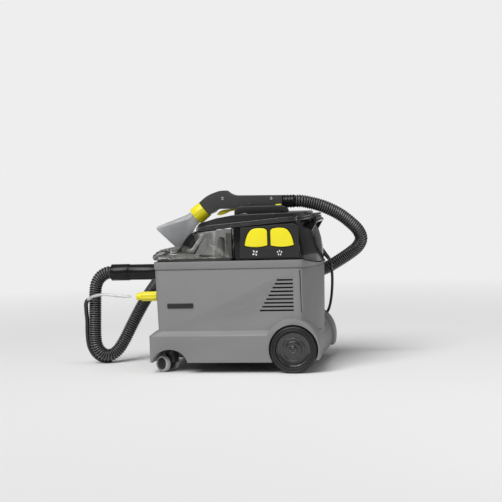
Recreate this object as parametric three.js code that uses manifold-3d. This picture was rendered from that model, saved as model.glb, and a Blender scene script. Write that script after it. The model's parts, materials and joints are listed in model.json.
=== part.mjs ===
// Spray-extraction carpet cleaner: a grey tank housing on two large rear wheels and two
// twin-wheel casters, a black motor head, a clear front cover under a hinged lid, a hand
// tool parked on the lid, and a corrugated suction hose that is looped round the machine.
// Millimetres. +X is the rear (large wheels), +Y the far side, +Z up, floor at Z = 0.
import * as THREE from 'three';
import { mergeVertices } from 'three/addons/utils/BufferGeometryUtils.js';
import Module from 'manifold-3d';

const wasm = await Module();
wasm.setup();

// ---- driving dimensions ----
const gap = 0.3;                 // between pieces that touch
const wall = 4;                  // moulded wall thickness
const housing = { front: -180, rear: 200, half: 150, top: 260, ledge: 96, floor: 62, draft: 4, bow: 30, rearTop: 246, rearRise: 18 };
const skirt = { front: -197, rear: 196, half: 158, bottom: 25, shoulder: 87 };
const wheel = { x: 146, z: 54, radius: 54, width: 32, outer: 163, well: 57.5, fender: 70.5, fenderRear: 61.5 };
const caster = { x: -150, y: 118, radius: 19.5, trail: 15, angle: -30, track: 16, tread: 13 };
const head = { front: 11, rear: 199, half: 146, bottom: 262, rearBottom: 248, bow: 28 };
const seam = { x: 11, z: 336, slope: 0.082 };   // the sloping joint between head and lid
const hinge = { x: 190, z: 345.4, radius: 2.5, barrel: 5 };
const lid = { front: -78, rear: 195, half: 150, bow: 22 };
const port = { z: 228, y: 0 };                  // suction hose port in the front wall
const sprayPort = { z: 173, y: -60 };
const tool = { x: -112, y: 62, z: 369, pitch: 141.5, roll: -32, tailZ: 391 };
const hose = { radius: 16, spray: 3.5, sides: 10 };
const cord = { radius: 3.5, sides: 8 };

const seamAt = (x) => seam.z + (x - seam.x) * seam.slope;

// ---- materials ----
const paint = (hex, roughness, metalness = 0) =>
  new THREE.MeshStandardMaterial({ color: hex, roughness, metalness });
const grey = paint(0x85878a, 0.5);
const black = paint(0x1b1c1e, 0.45);
const charcoal = paint(0x2c2e31, 0.5);
const rubber = paint(0x151515, 0.8);
const tyreRubber = paint(0x8f9092, 0.7);
const yellow = paint(0xf2e414, 0.4);
const clear = new THREE.MeshStandardMaterial({ color: 0xc9d0d2, roughness: 0.1, transparent: true, opacity: 0.35 });
const smoke = new THREE.MeshStandardMaterial({ color: 0x8d9498, roughness: 0.2, transparent: true, opacity: 0.6 });
const natural = paint(0xd8dad6, 0.5);
const steel = paint(0xb5b8bb, 0.3, 1);

// ---- solids ----
// A closed three.js geometry as a manifold-3d solid.
function solid(geometry) {
  const bare = geometry.clone();
  bare.deleteAttribute('normal');
  bare.deleteAttribute('uv');
  const merged = mergeVertices(bare, 1e-3);
  return new wasm.Manifold(new wasm.Mesh({
    numProp: 3,
    vertProperties: new Float32Array(merged.attributes.position.array),
    triVerts: new Uint32Array(merged.index.array),
  }));
}

// A manifold-3d solid as a three.js geometry.
function geometryOf(manifold) {
  const mesh = manifold.getMesh();
  const made = new THREE.BufferGeometry();
  made.setAttribute('position', new THREE.BufferAttribute(new Float32Array(mesh.vertProperties), 3));
  made.setIndex(new THREE.BufferAttribute(new Uint32Array(mesh.triVerts), 1));
  made.computeVertexNormals();
  return made;
}

function box(x0, x1, y0, y1, z0, z1) {
  const made = new THREE.BoxGeometry(x1 - x0, y1 - y0, z1 - z0);
  made.translate((x0 + x1) / 2, (y0 + y1) / 2, (z0 + z1) / 2);
  return solid(made);
}

// A round rod from point a to point b.
function rod(radius, a, b, sides = 24, endRadius = radius) {
  const from = new THREE.Vector3(...a);
  const way = new THREE.Vector3(...b).sub(from);
  const made = new THREE.CylinderGeometry(endRadius, radius, way.length(), sides);
  made.translate(0, way.length() / 2, 0);
  made.applyQuaternion(new THREE.Quaternion().setFromUnitVectors(
    new THREE.Vector3(0, 1, 0), way.clone().normalize()));
  made.translate(...a);
  return solid(made);
}

// A plan outline with rounded corners, x from the front to the rear and y symmetric. The rear
// edge is bowed: its middle stands back from its corners by bow.
function planOutline(x0, x1, half, frontRadius, rearRadius, bow = 0) {
  const s = new THREE.Shape();
  const corner = x1 - bow;
  s.moveTo(x0 + frontRadius, -half);
  s.lineTo(corner - rearRadius, -half);
  s.quadraticCurveTo(corner, -half, corner + bow * 0.12, -half + rearRadius);
  const edge = corner + bow * 0.12;
  if (bow > 0) s.quadraticCurveTo(2 * x1 - edge, 0, edge, half - rearRadius);
  s.lineTo(edge, half - rearRadius);
  s.quadraticCurveTo(corner, half, corner - rearRadius, half);
  s.lineTo(x0 + frontRadius, half);
  s.absarc(x0 + frontRadius, half - frontRadius, frontRadius, Math.PI / 2, Math.PI);
  s.lineTo(x0, -half + frontRadius);
  s.absarc(x0 + frontRadius, -half + frontRadius, frontRadius, Math.PI, Math.PI * 1.5);
  return s;
}

// A plan outline raised from z0 to z1; shift(point) may move each corner afterwards.
function raised(outline, z0, z1, { steps = 1, curve = 3, shift } = {}) {
  const made = new THREE.ExtrudeGeometry(outline, {
    depth: z1 - z0, steps, curveSegments: curve, bevelEnabled: false });
  made.translate(0, 0, z0);
  if (shift) {
    const p = made.attributes.position;
    const v = new THREE.Vector3();
    for (let i = 0; i < p.count; i++) {
      v.fromBufferAttribute(p, i);
      shift(v);
      p.setXYZ(i, v.x, v.y, v.z);
    }
  }
  return solid(made);
}

// A side profile, drawn in X and Z, spread from y0 to y1.
function sideways(profile, y0, y1, curve = 8) {
  const outline = Array.isArray(profile)
    ? new THREE.Shape(profile.map(([x, z]) => new THREE.Vector2(x, z)))
    : profile;
  const made = new THREE.ExtrudeGeometry(outline, {
    depth: y1 - y0, curveSegments: curve, bevelEnabled: false });
  made.rotateX(Math.PI / 2);
  made.translate(0, y1, 0);
  return solid(made);
}

// A turned piece: the profile is [radius, place along the axis] and the axis runs along +Y.
function turned(profile, sides = 32) {
  const made = new THREE.LatheGeometry(profile.map(([r, y]) => new THREE.Vector2(r, y)), sides);
  return solid(made);
}

// A round tube along a smooth path of points.
function tube(points, radius, sides, steps) {
  const curve = new THREE.CatmullRomCurve3(points.map((p) => new THREE.Vector3(...p)), false, 'centripetal');
  const ring = new THREE.Shape();
  ring.absarc(0, 0, radius, 0, Math.PI * 2);
  return new THREE.ExtrudeGeometry(ring, {
    extrudePath: curve, steps, curveSegments: sides / 2, bevelEnabled: false });
}

const object = new THREE.Group();

function add(name, shape, material, parent = object) {
  const mesh = new THREE.Mesh(shape.isBufferGeometry ? shape : geometryOf(shape), material);
  mesh.name = name;
  parent.add(mesh);
  return mesh;
}

// ---- housing ----
function housingPrism(inset, z0, z1) {
  const { front, rear, half, top, ledge, draft, bow } = housing;
  const middle = (front + rear) / 2;
  const reach = (rear - front) / 2;
  return raised(planOutline(front + inset, rear - inset, half - inset, 14, 14, bow), z0, z1, {
    curve: 4,
    shift(v) {
      const t = Math.min(1, Math.max(0, (top - v.z) / (top - ledge)));
      v.x -= draft * t * (v.x - middle) / reach;
      v.y *= 1 - 0.02 * t;
    },
  });
}

function bothSides(make) {
  return make(-1).add(make(1));
}

// A fender over the wheels, round in front of the axle and shallower behind it.
function fenderBar(radius, rearRadius, y0, y1) {
  const bar = rod(radius, [0, y0, 0], [0, y1, 0], 40);
  const front = bar.intersect(box(-radius - 1, 0, y0 - 1, y1 + 1, -radius - 1, radius + 1));
  const rear = bar.scale([rearRadius / radius, 1, 1]).intersect(box(-0.1, radius, y0 - 1, y1 + 1, -radius - 1, radius + 1));
  return front.add(rear).translate([wheel.x, 0, wheel.z]);
}

// All that lies above the line where the black head meets the housing at the rear. The line
// is lowest in the middle.
function aboveRearLine(z, x0) {
  const s = new THREE.Shape();
  s.moveTo(-170, z + housing.rearRise);
  s.quadraticCurveTo(0, z - housing.rearRise, 170, z + housing.rearRise);
  s.lineTo(170, 400);
  s.lineTo(-170, 400);
  return sideways(s, -260, -x0, 10).rotate([0, 0, 90]);
}

function mainHousing() {
  const shoulder = raised(planOutline(skirt.front, skirt.rear, skirt.half, 14, 14, 8), skirt.shoulder, 98, {
    shift(v) {
      if (v.z > 97) {
        v.x = v.x * 0.93;
        v.y = v.y * 0.93;
      }
    },
  });
  const base = raised(planOutline(skirt.front, skirt.rear, skirt.half, 14, 14, 8), skirt.bottom, skirt.shoulder);
  const fender = fenderBar(wheel.fender - 6, wheel.fenderRear - 6, -120, 120)
    .add(fenderBar(wheel.fender, wheel.fenderRear, -skirt.half, -110))
    .add(fenderBar(wheel.fender, wheel.fenderRear, 110, skirt.half))
    .intersect(box(0, 260, -200, 200, 30, 200));
  const rim = raised(planOutline(housing.front - 1.5, housing.rear + 1.5, housing.half + 1.5, 15, 15, housing.bow), 243, 260);
  let made = housingPrism(0, 80, 259).add(base).add(shoulder).add(fender).add(rim);

  const liner = bothSides((s) => rod(wheel.well + wall, [wheel.x, s * 118, wheel.z], [wheel.x, s * 170, wheel.z], 32));
  made = made.subtract(housingPrism(wall, housing.floor + 5, 262).subtract(liner));
  made = made.subtract(bothSides((s) =>
    rod(wheel.well, [wheel.x, s * 122, wheel.z], [wheel.x, s * 170, wheel.z], 40)));
  const arch = new THREE.Shape();
  arch.absellipse(-147, 20, 43, 36, 0, Math.PI * 2);
  made = made.subtract(bothSides((s) => (s < 0 ? sideways(arch, -170, -66, 12) : sideways(arch, 66, 170, 12))));
  made = made.subtract(box(-98, 82, -151, 151, 20, housing.floor));
  made = made.subtract(box(81, 186, -112, 112, 20, housing.floor));
  made = made.subtract(rod(7, [wheel.x, -125, wheel.z], [wheel.x, 125, wheel.z], 16));
  made = made.subtract(bothSides((s) => rod(8.5, [caster.x, s * caster.y, 50], [caster.x, s * caster.y, 72], 16)));
  for (let k = 0; k < 9; k++) {
    const z = 214 - 8.75 * k;
    made = made.subtract(bothSides((s) => box(111 - 5.2 * k, 148, Math.min(s * 130, s * 160), Math.max(s * 130, s * 160), z - 2, z + 2)));
  }
  made = made.subtract(rod(24, [-190, port.y, port.z], [-165, port.y, port.z], 28));
  made = made.subtract(rod(9.5, [-190, sprayPort.y, sprayPort.z], [-165, sprayPort.y, sprayPort.z], 16));
  // A finger groove below the rim, along both long sides and round the back.
  const groove = raised(planOutline(-200, 240, 170, 15, 20), 240, 242.4)
    .subtract(housingPrism(1.2, 236, 246));
  // The black head comes down lower over the rear.
  return made.subtract(groove).subtract(aboveRearLine(housing.rearTop, housing.rear - housing.bow + 2));
}

add('main_housing', mainHousing(), grey);
add('base_plate', box(-97, 81, -150, 150, 27, 31), black);
add('vent_baffle', box(60, 152, -141, -139, 136, 224), black);

// ---- inside the housing ----
function openBox(x0, x1, half, z0, z1, t, radius = 12) {
  return raised(planOutline(x0, x1, half, radius, radius), z0, z1, { curve: 2 })
    .subtract(raised(planOutline(x0 + t, x1 - t, half - t, radius - t, radius - t), z0 + t, z1 + 10, { curve: 2 }));
}

add('fresh_water_tank', openBox(-166, 20, 134, 70, 128, 3), natural);
function dirtyTank() {
  const flange = raised(planOutline(-175, 4, 144, 14, 6), 261, 264, { curve: 2 })
    .subtract(raised(planOutline(-165, -6, 132, 9, 4), 255, 270, { curve: 2 }));
  const inlet = rod(19, [-190, port.y, port.z], [-150, port.y, port.z], 24);
  return openBox(-168, -3, 135, 134, 264, 3).add(flange).subtract(inlet);
}
add('dirty_water_tank', dirtyTank(), smoke);
add('container_seal', raised(planOutline(-183, 8.5, 149, 15, 4), 264.4, 266.4, { curve: 2 })
  .subtract(raised(planOutline(-164, -7, 131, 9, 4), 255, 275, { curve: 2 })), rubber);

function turbine() {
  return rod(56, [112, 0, 70], [112, 0, 104], 36)
    .add(rod(66, [112, 0, 103], [112, 0, 138], 36))
    .add(rod(42, [112, 0, 137], [112, 0, 206], 28))
    .add(rod(9, [112, 0, 205], [112, 0, 216], 16));
}
add('suction_turbine', turbine(), steel);
add('motor_deck', raised(planOutline(24, 190, 138, 6, 10, 30), 220, 225, { curve: 3 }), black);
add('spray_pump', box(44, 84, 78, 112, 70, 108)
  .add(rod(15, [64, 95, 107], [64, 95, 150], 20))
  .add(rod(5, [45, 95, 82], [34, 95, 82], 12)), charcoal);
function waterLine() {
  return tube([[33.3, 95, 82], [28.5, 95, 82], [26.5, 94, 92], [26.5, 88, 112], [26.5, 70, 128], [26.5, 30, 130],
    [26.5, -20, 130]], 3.5, 8, 20);
}
add('water_line', waterLine(), rubber);

// ---- rear axle and wheels ----
add('rear_axle', rod(5, [wheel.x, -154, wheel.z], [wheel.x, 154, wheel.z], 16), steel);
function placedOnAxle(shape, side) {
  const turn = side < 0 ? [180, 0, 0] : [0, 0, 0];
  return shape.rotate(turn).translate([wheel.x, side * (wheel.outer - wheel.width), wheel.z]);
}
for (const [side, name] of [[-1, 'near'], [1, 'far']]) {
  const w = wheel.width;
  const tread = turned([[41, 1], [50, 1], [54, 5], [54, w - 5], [51, w - 1], [46, w], [45.5, w - 3], [41, w - 3],
    [41, 1]], 32);
  const disc = turned([[5.5, 0], [14, 0], [14, 8], [38, 8], [40.7, 2], [40.7, w - 4], [37, w - 2], [34, w - 8],
    [18, w - 9], [17, w - 4], [10.5, w - 4], [10.5, w - 9], [5.5, w - 9], [5.5, 0]], 24);
  const cap = turned([[0, w - 8.4], [10, w - 8.4], [10, w - 2], [7, w + 1], [0, w + 2]], 24);
  add('tyre_' + name, placedOnAxle(tread, side), rubber);
  add('wheel_rim_' + name, placedOnAxle(disc, side), black);
  add('hub_cap_' + name, placedOnAxle(cap, side), charcoal);
}

// ---- front casters ----
// Each stands turned by the same angle; its two wheels run on one short axle behind the stem.
for (const [side, name] of [[-1, 'near'], [1, 'far']]) {
  const turn = new THREE.Group();
  turn.position.set(caster.x, side * caster.y, 0);
  turn.rotation.z = THREE.MathUtils.degToRad(caster.angle);
  object.add(turn);
  const r = caster.radius;
  const axleX = -caster.trail;
  const body = rod(14, [axleX, -9, r], [axleX, 9, r], 24)
    .add(box(-14, 12, -8.5, 8.5, 22, 46))
    .add(rod(12, [0, 0, 41], [0, 0, 50.5], 20))
    .add(rod(5, [0, 0, 49], [0, 0, 70], 12))
    .subtract(rod(3.4, [axleX, -20, r], [axleX, 20, r], 12));
  add('caster_yoke_' + name, body, charcoal, turn);
  add('caster_axle_' + name, rod(3, [axleX, -21, r], [axleX, 21, r], 12), steel, turn);
  for (const [end, which] of [[-1, 'a'], [1, 'b']]) {
    const inner = caster.track - caster.tread / 2;
    const roll = turned([[3.3, 0], [r - 6, 0], [r, 2], [r, caster.tread - 3], [r - 3, caster.tread], [r - 5, caster.tread - 1.5],
      [3.3, caster.tread - 1.5], [3.3, 0]], 20);
    const placed = (end < 0 ? roll.rotate([180, 0, 0]) : roll).translate([axleX, end * inner, r]);
    add('caster_wheel_' + name + '_' + which, placed, tyreRubber, turn);
  }
}

// ---- motor head ----
function headPrism(inset, z0, z1) {
  return raised(planOutline(head.front + inset, head.rear - inset, head.half - inset, 8, 12, head.bow), z0, z1, {
    steps: 4,
    curve: 4,
    shift(v) {
      const t = Math.max(0, (v.z - head.bottom) / 80);
      if (v.x > 100) v.x -= (8 * t + 11 * t * t) * (v.x - 100) / 100;
    },
  });
}
// The block above the head and lid joint, lifted by rise.
function aboveSeam(rise) {
  return sideways([[-260, seamAt(-260) + rise], [300, seamAt(300) + rise], [300, 500], [-260, 500]], -220, 220);
}
function rockerOutline(grow) {
  const s = new THREE.Shape();
  s.moveTo(39 - grow, 294 - grow);
  s.quadraticCurveTo(65, 287 - grow, 92 + grow, 294 - grow);
  s.lineTo(92 + grow, 324);
  s.quadraticCurveTo(92 + grow, 332 + grow, 84, 333 + grow);
  s.quadraticCurveTo(62, 336 + grow, 53 - grow, 329 + grow);
  s.quadraticCurveTo(42 - grow, 318 + grow, 39 - grow, 294 - grow);
  return s;
}
const mirrorX = (shape, x) => shape.mirror([1, 0, 0]).translate([2 * x, 0, 0]);
const rockerMiddle = 96;
function rockerPair(y0, y1, grow) {
  const one = sideways(rockerOutline(grow), y0, y1, 6);
  return [one, mirrorX(one, rockerMiddle)];
}
// The mains cord leaves the rear of the head, outwards and steeply down.
const outlet = new THREE.Vector3(186.5, 90, 266);
const outletWay = new THREE.Vector3(0.58, 0.2, -0.79).normalize();
const outletAt = (d) => outlet.clone().addScaledVector(outletWay, d).toArray();
function headHousing() {
  let made = headPrism(0, head.rearBottom - 4, 356).subtract(headPrism(3.5, head.rearBottom - 6, 331)).subtract(aboveSeam(0));
  made = made.subtract(box(0, housing.rear - housing.bow + 2.4, -160, 160, 240, head.bottom));
  made = made.subtract(box(housing.rear - housing.bow + 2, 260, -170, 170, 240, 300)
    .subtract(aboveRearLine(head.rearBottom, housing.rear - housing.bow + 1)));
  made = made.subtract(box(16, 114, -48, 48, 300, 380));
  for (const hole of rockerPair(-160, -130, 3)) made = made.subtract(hole);
  made = made.subtract(rod(6, outletAt(-14), outletAt(20), 16));
  return made;
}
function switchPanel() {
  let made = sideways([[26, 266], [164, 266], [164, 338], [150, 343], [30, 336]], -149.6, -146.4);
  for (const hole of rockerPair(-160, -130, 1.2)) made = made.subtract(hole);
  return made;
}
add('switch_panel', switchPanel(), charcoal);
const rockerNames = ['rocker_vacuum', 'rocker_spray'];
rockerPair(-153, -147.5, 0).forEach((face, k) => {
  const x0 = k ? rockerMiddle * 2 - 84 : 48;
  add(rockerNames[k], face.add(box(x0, x0 + 36, -148, -136, 300, 322)), yellow);
});

// Two lugs at the rear of the head carry the pin of the lid.
function hingeLug(y0) {
  return sideways([[171, 318], [173, 338], [184, 349.6], [193, 350.2], [195, 345.4], [192, 339], [181, 320]], y0, y0 + 10)
    .subtract(rod(hinge.radius + 0.3, [hinge.x, y0 - 5, hinge.z], [hinge.x, y0 + 15, hinge.z], 16));
}
add('head_housing', headHousing().add(hingeLug(-58)).add(hingeLug(48)), black);
add('hinge_pin', rod(hinge.radius, [hinge.x, -60, hinge.z], [hinge.x, 60, hinge.z], 16), steel);

// ---- lid: frame, clear front cover, carry handle ----
const crown = [[-88, 300], [-88, 332], [-73, 347], [-30, 359], [10, 365], [100, 366], [160, 366], [175, 361],
  [187, 352], [187, 300]];
function lidFrame() {
  const lipPrism = (inset, narrow) => raised(
    planOutline(lid.front + inset, lid.rear - inset, lid.half - narrow, 26, 34, lid.bow), 300, 380, { curve: 4 });
  const crownBlock = raised(planOutline(-88, 179, 132, 40, 34, 18), 300, 380, { curve: 2 })
    .intersect(sideways(crown, -160, 160));
  const lipPlate = lipPrism(0, 0).intersect(aboveSeam(1)).subtract(aboveSeam(5.5));
  const upperLip = lipPrism(4.5, 4).intersect(aboveSeam(5)).subtract(aboveSeam(8));
  const topLip = lipPrism(0, 1).intersect(aboveSeam(7.5)).subtract(aboveSeam(11));
  let made = crownBlock.intersect(aboveSeam(1)).add(lipPlate).add(upperLip).add(topLip);
  const hollow = raised(planOutline(-84, 173, 128, 36, 34, 18), 290, 380, { curve: 3 })
    .intersect(sideways(crown.map(([x, z]) => [x, z - 3.5]), -150, 150));
  made = made.subtract(hollow);
  const pan = raised(planOutline(20, 110, 44, 12, 12), 327, 366, { curve: 2 });
  made = made.add(pan.subtract(aboveSeam(24)));
  made = made.add(pan.intersect(sideways(crown, -160, 160)));
  made = made.subtract(raised(planOutline(23, 107, 41, 10, 10), 330, 400, { curve: 2 }));
  made = made.subtract(bothSides((s) => box(169, 220, s < 0 ? -60 : 46, s < 0 ? -46 : 60, 320, 380)));
  made = made.add(box(hinge.x - hinge.barrel, hinge.x + 2, -46, 46, hinge.z, hinge.z + 8)
    .add(rod(hinge.barrel, [hinge.x, -46, hinge.z], [hinge.x, 46, hinge.z], 20)));
  made = made.subtract(rod(hinge.radius + 0.3, [hinge.x, -70, hinge.z], [hinge.x, 70, hinge.z], 16));
  return made;
}

// The cover is low in front, where the nozzle of the parked tool comes down past it, and
// has a raised grip on the near half of its front edge.
function coverProfile(i, grip) {
  const front = grip
    ? [[-188 + i, 271], [-184 + i, 275 - i / 2], [-168 + i / 2, 285 - i], [-150, 286 - i], [-136, 281 - i],
      [-124 + i * 0.6, 281 - i]]
    : [[-188 + i, 269.4 - i], [-127 + i * 0.9, 269.4 - i]];
  return [[-188 + i, 200], ...front, [-91 + i, seamAt(-91) + 0.4 - i],
    [8 - i, seamAt(8) + 0.4 - i], [8 - i, 200]];
}
function coverBlock(i, z0) {
  return raised(planOutline(-188 + i, 8 - i, 145 - i, 22 - i, 5 - i), z0, 350)
    .intersect(sideways(coverProfile(i, true), -160, 14 - i).add(sideways(coverProfile(i, false), -160, 160)));
}
function clearCover() {
  return coverBlock(0, 266.8).subtract(coverBlock(2.5, 200));
}

add('lid_frame', lidFrame(), black);
add('clear_cover', clearCover(), clear);

function carryHandle() {
  const grip = sideways((() => {
    const s = new THREE.Shape();
    s.moveTo(-12, 362.1);
    s.lineTo(-12, 370);
    s.quadraticCurveTo(-8, 382, 8, 383);
    s.lineTo(98, 383);
    s.quadraticCurveTo(114, 382, 118, 370);
    s.lineTo(118, 366.4);
    s.lineTo(104, 366.4);
    s.quadraticCurveTo(100, 360, 92, 359.5);
    s.lineTo(28, 359.5);
    s.lineTo(24, 366);
    s.lineTo(12, 366);
    s.lineTo(2, 364.3);
    return s;
  })(), -14, 14, 6);
  return grip;
}
add('carry_handle', carryHandle(), charcoal);

// A cradle for the parked tool, standing on the lid.
function toolRest(x0, x1, foot, height) {
  return box(x0, x1, tool.y - 21, tool.y + 21, foot, height)
    .subtract(box(x0 - 5, x1 + 5, tool.y - 17.9, tool.y + 17.9, 375.2, height + 5));
}
add('tool_rest_front', toolRest(9, 21, 365.5, 388), charcoal);
add('tool_rest_rear', toolRest(80, 95, 366.3, 385), yellow);

// ---- inside the clear cover ----
add('float_cage', rod(20, [-17, 0, 272], [-17, 0, 322], 20)
  .subtract(rod(17, [-17, 0, 274.5], [-17, 0, 330], 20))
  .subtract(box(-45, 20, -6, 6, 279, 316))
  .subtract(box(-23, -11, -40, 40, 279, 316)), natural);
add('float', rod(12, [-17, 0, 274.9], [-17, 0, 294.9], 16), yellow);
add('inlet_elbow', sideways([[-64, 274], [-42, 274], [-42, 312], [-50, 316], [-66, 288]], -18, 18), natural);
add('splash_tray', box(-134, -72, -138, 8, 268.5, 276.5).subtract(box(-131, -75, -135, 5, 271, 290)), smoke);

// ---- front hose port ----
add('hose_socket', rod(23.6, [-183, port.y, port.z], [-172.5, port.y, port.z], 28)
  .add(rod(29, [-191, port.y, port.z], [-182, port.y, port.z], 32))
  .subtract(rod(19.6, [-200, port.y, port.z], [-160, port.y, port.z], 28)), black);
add('hose_cuff', rod(19.2, [-284, 0, port.z], [-176, 0, port.z], 28)
  .add(rod(21, [-214, 0, port.z], [-204, 0, port.z], 28))
  .add(rod(20.4, [-327, 0, port.z], [-283, 0, port.z], 28))
  .subtract(rod(16, [-335, 0, port.z], [-170, 0, port.z], 20)), black);
add('spray_socket', rod(9, [-181, sprayPort.y, sprayPort.z], [-170, sprayPort.y, sprayPort.z], 16)
  .add(rod(14, [-186, sprayPort.y, sprayPort.z], [-180.5, sprayPort.y, sprayPort.z], 20)), black);
function sprayCoupling() {
  const at = (x) => [x, sprayPort.y, sprayPort.z];
  return rod(8, at(-264), at(-250), 20, 9).add(rod(12, at(-250), at(-212), 20))
    .add(rod(9.5, at(-213), at(-186.4), 20));
}
add('spray_coupling', sprayCoupling(), yellow);

// ---- a strap that holds the suction hose on the far side, and the cord outlet ----
add('hose_strap', rod(20.4, [-62, 174, 270], [-38, 174, 270], 20)
  .add(box(-62, -38, 152.3, 155.6, 216, 270))
  .subtract(rod(17.6, [-70, 174, 270], [-30, 174, 270], 20)), rubber);
add('cord_outlet', rod(5.6, outletAt(-10), outletAt(5), 12).add(rod(5.6, outletAt(4.5), outletAt(25), 12, 4.2)), rubber);
add('name_badge', sideways([[-150, 152], [-88, 152], [-88, 163], [-150, 163]], -150.2, -148.6), charcoal);

// ---- hand tool, parked on the lid ----
const toolHead = new THREE.Group();
toolHead.position.set(tool.x, tool.y, tool.z);
toolHead.rotation.y = THREE.MathUtils.degToRad(tool.pitch);
object.add(toolHead);
const nozzleTurn = new THREE.Group();
nozzleTurn.rotation.x = THREE.MathUtils.degToRad(tool.roll);
toolHead.add(nozzleTurn);

// Along the tool, local +X runs to the nozzle's mouth.
function unionNut() {
  let made = rod(22, [-15, 0, 0], [15, 0, 0], 24, 23).subtract(rod(15.5, [-20, 0, 0], [20, 0, 0], 20));
  for (let k = 0; k < 8; k++) {
    const a = k * Math.PI / 4;
    made = made.subtract(rod(2.6, [-20, 24.4 * Math.cos(a), 24.4 * Math.sin(a)], [20, 24.4 * Math.cos(a), 24.4 * Math.sin(a)], 10));
  }
  return made;
}
add('union_nut', unionNut(), yellow, toolHead);
add('nozzle_neck', rod(14.8, [-14.5, 0, 0], [16.6, 0, 0], 20, 13.5)
  .subtract(rod(11, [-20, 0, 0], [40, 0, 0], 16)), charcoal, toolHead);

// The fan-shaped nozzle, drawn flat: along the tool and across its mouth.
function nozzleSlab(inset, y0, y1) {
  const s = new THREE.Shape();
  const i = inset;
  s.moveTo(17.4 - i * 2, -13 + i);
  s.lineTo(30, -14 + i);
  s.lineTo(101, -46 + i);
  s.lineTo(108 + i * 2, -46 + i);
  s.lineTo(108 + i * 2, 46 - i);
  s.lineTo(101, 46 - i);
  s.lineTo(30, 14 - i);
  s.lineTo(17.4 - i * 2, 13 - i);
  const made = new THREE.ExtrudeGeometry(s, { depth: y1 - y0, bevelEnabled: false });
  made.translate(0, 0, y0);
  const p = made.attributes.position;
  for (let k = 0; k < p.count; k++) {
    const t = Math.min(1, Math.max(0, (p.getX(k) - 30) / 78));
    p.setZ(k, p.getZ(k) * (1 - 0.72 * t));
  }
  made.rotateX(Math.PI / 2);
  return solid(made);
}
add('nozzle_shell', nozzleSlab(0, -13, 13).subtract(nozzleSlab(2, -11, 11)), clear, nozzleTurn);

const slope = THREE.MathUtils.degToRad(180 - tool.pitch);
function handleProfile() {
  const s = new THREE.Shape();
  s.moveTo(-111.4, 393.1);
  s.quadraticCurveTo(-96, 410, -74, 417);
  s.quadraticCurveTo(-56, 424, -44, 421);
  s.quadraticCurveTo(-34, 411, -20, 409);
  s.lineTo(96, 406.5);
  s.lineTo(96, 375.6);
  s.lineTo(0, 375.6);
  s.lineTo(-60, 377);
  s.quadraticCurveTo(-72, 376, -76, 369);
  s.lineTo(-88.3, 364.2);
  return s;
}
function handleBody() {
  const half = 17.5;
  let made = sideways(handleProfile(), tool.y - half, tool.y + half, 6);
  const nutBack = [tool.x + 15.6 * Math.cos(slope), tool.y, tool.z + 15.6 * Math.sin(slope)];
  const ductBend = [-70, tool.y, 396];
  made = made.subtract(rod(11, nutBack.map((v, k) => v - [20 * Math.cos(slope), 0, 20 * Math.sin(slope)][k]), ductBend, 16));
  made = made.subtract(rod(11, ductBend, [100, tool.y, tool.tailZ], 16)).subtract(solid(
    new THREE.SphereGeometry(11.2, 16, 10).translate(...ductBend)));
  made = made.subtract(box(-74, 0, tool.y - 6.5, tool.y + 6.5, 350, 388));
  made = made.subtract(rod(2.4, [-7, tool.y - 30, 381], [-7, tool.y + 30, 381], 12));
  return made;
}
const handleWhole = handleBody();
add('tool_shell_near', handleWhole.intersect(box(-200, 200, 0, tool.y - gap / 2, 300, 500)), charcoal);
add('tool_shell_far', handleWhole.intersect(box(-200, 200, tool.y + gap / 2, 200, 300, 500)), charcoal);
function trigger() {
  const s = new THREE.Shape();
  s.moveTo(-70, 362.5);
  s.quadraticCurveTo(-66, 372, -52, 374.5);
  s.lineTo(-14, 378);
  s.lineTo(-8, 385.5);
  s.lineTo(-3, 384);
  s.lineTo(-2, 378);
  s.lineTo(-8, 371);
  s.quadraticCurveTo(-24, 373, -38, 370);
  s.quadraticCurveTo(-54, 362, -62, 361);
  return sideways(s, tool.y - 6, tool.y + 6, 5).subtract(rod(2.4, [-7, 0, 381], [-7, 200, 381], 12));
}
add('spray_trigger', trigger(), yellow);
add('trigger_pin', rod(2, [-7, tool.y - 16, 381], [-7, tool.y + 16, 381], 12), steel);
function hoseConnector() {
  let made = rod(14.5, [96.4, tool.y, tool.tailZ], [128, tool.y, tool.tailZ], 20);
  for (const x of [99, 106, 113, 120]) {
    made = made.add(rod(16, [x, tool.y, tool.tailZ], [x + 3.6, tool.y, tool.tailZ], 16));
  }
  return made.subtract(rod(11, [90, tool.y, tool.tailZ], [140, tool.y, tool.tailZ], 16));
}
add('tool_hose_connector', hoseConnector(), black);

// ---- free hoses and cord ----
// The suction hose: down in front, up past the far front corner, over the hook, round the back.
const hoseFront = [
  [-328, 0, 228], [-338, 0, 228], [-356, 0, 219], [-368, 0, 203], [-373, 1, 182], [-375, 2, 150], [-377, 3, 110],
  [-379, 5, 72], [-377, 8, 45], [-366, 14, 26], [-348, 22, 19.5], [-331, 32, 30], [-317, 44, 52], [-300, 62, 90],
  [-280, 86, 134], [-258, 115, 176], [-232, 146, 214], [-200, 166, 244], [-160, 174, 263], [-110, 174, 271],
  [-50, 174, 270], [10, 174, 261], [70, 175, 239], [110, 175.5, 222], [134, 175.5, 215.4], [150, 175.5, 213.5], [160, 175.5, 213.3]];
const hoseRear = [
  [161.2, 175.5, 213.3], [171, 175.4, 213.8], [184, 173.5, 218.5], [200, 170, 227], [222, 165, 240], [247, 157, 256],
  [268, 146, 273], [278, 133, 293], [272, 120, 314], [254, 107, 335], [232, 95, 354], [209, 84, 368], [185, 74, 379],
  [158, 66, 387], [142, 62.3, 390.4], [128.8, 62, 391]];
add('suction_hose_front', tube(hoseFront, hose.radius, hose.sides, 46), rubber);
add('suction_hose_rear', tube(hoseRear, hose.radius, hose.sides, 22), rubber);

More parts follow.
